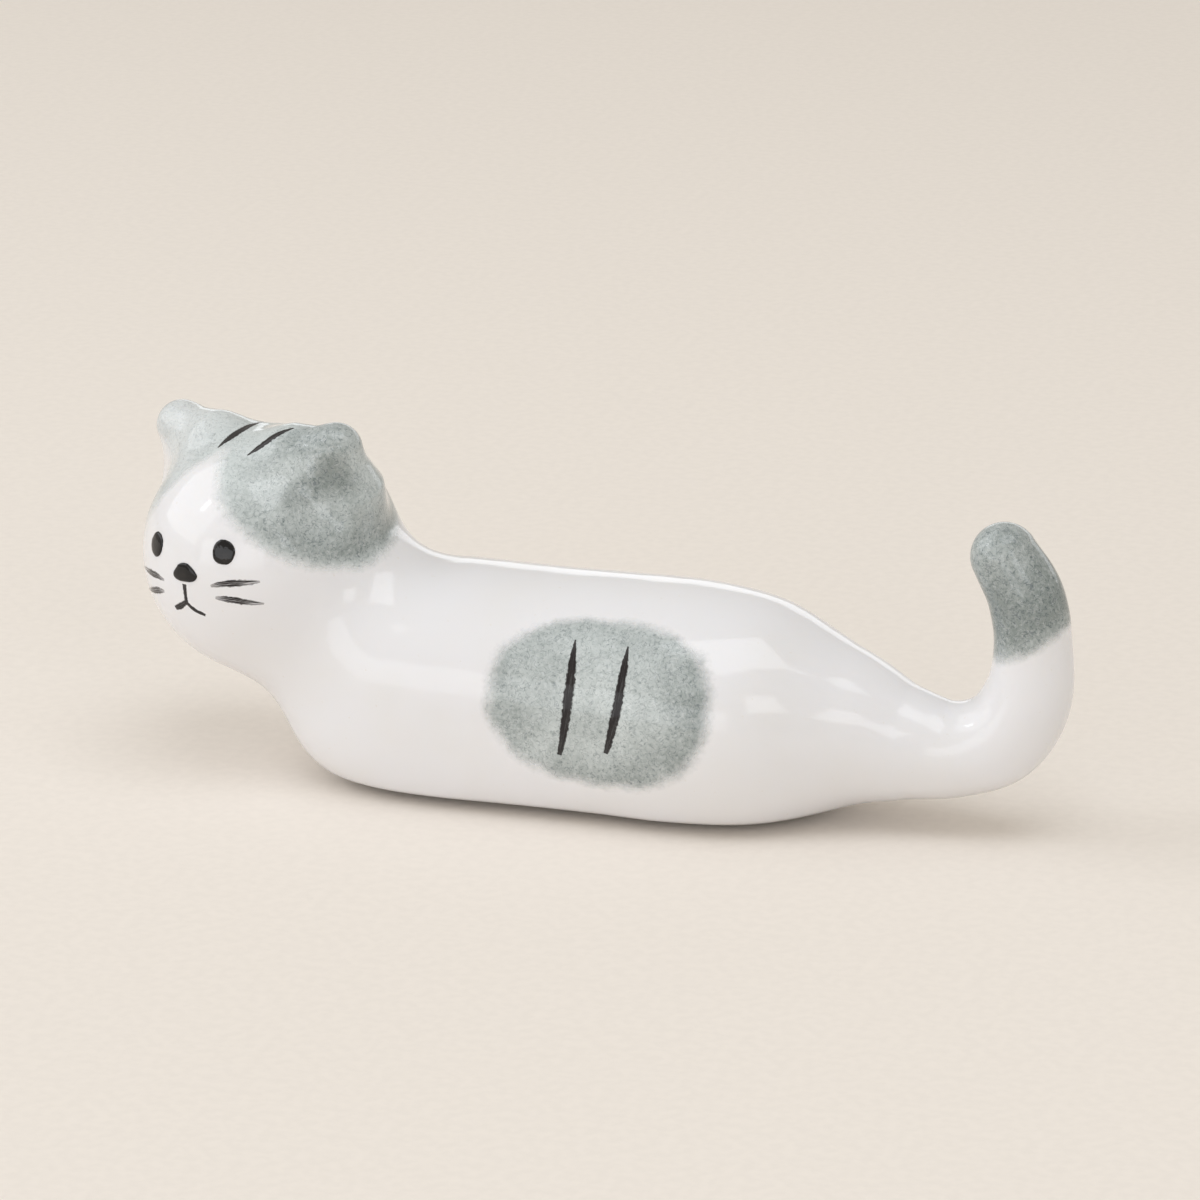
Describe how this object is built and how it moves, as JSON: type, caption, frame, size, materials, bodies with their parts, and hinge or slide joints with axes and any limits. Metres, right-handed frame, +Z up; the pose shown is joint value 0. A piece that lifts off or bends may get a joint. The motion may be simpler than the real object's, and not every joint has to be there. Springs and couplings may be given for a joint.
{
  "type": "cat chopstick rest",
  "caption": "Glazed porcelain chopstick rest in the form of a lying cat that looks over its shoulder; chopsticks lie across its back, between the head and the raised tail.",
  "frame": {"origin": "on the table, under the middle of the part's bounding box", "axes": "+X from the head to the tail, -Y the cat's left flank, which the picture shows, +Z up"},
  "size_m": [0.0759, 0.0208, 0.0295],
  "materials": {
    "glazed_porcelain": "clear gloss glaze over white porcelain",
    "bare_clay": "matte, ground flat",
    "grey_wash": "brushed blue-grey pigment under gloss glaze",
    "black_mark": "brushed black pigment, gloss"
  },
  "bodies": {
    "root": {"porcelain_body": "glazed_porcelain", "bare_foot": "bare_clay", "crown_patch": "grey_wash", "left_flank_patch": "grey_wash", "right_flank_patch": "grey_wash", "tail_tip_patch": "grey_wash", "left_eye": "black_mark", "right_eye": "black_mark", "nose": "black_mark", "philtrum_line": "black_mark", "left_mouth_stroke": "black_mark", "right_mouth_stroke": "black_mark", "left_upper_whisker": "black_mark", "left_lower_whisker": "black_mark", "right_upper_whisker": "black_mark", "right_lower_whisker": "black_mark", "left_crown_stripe": "black_mark", "right_crown_stripe": "black_mark", "left_front_stripe": "black_mark", "left_rear_stripe": "black_mark", "right_front_stripe": "black_mark", "right_rear_stripe": "black_mark"}
  },
  "joints": []
}
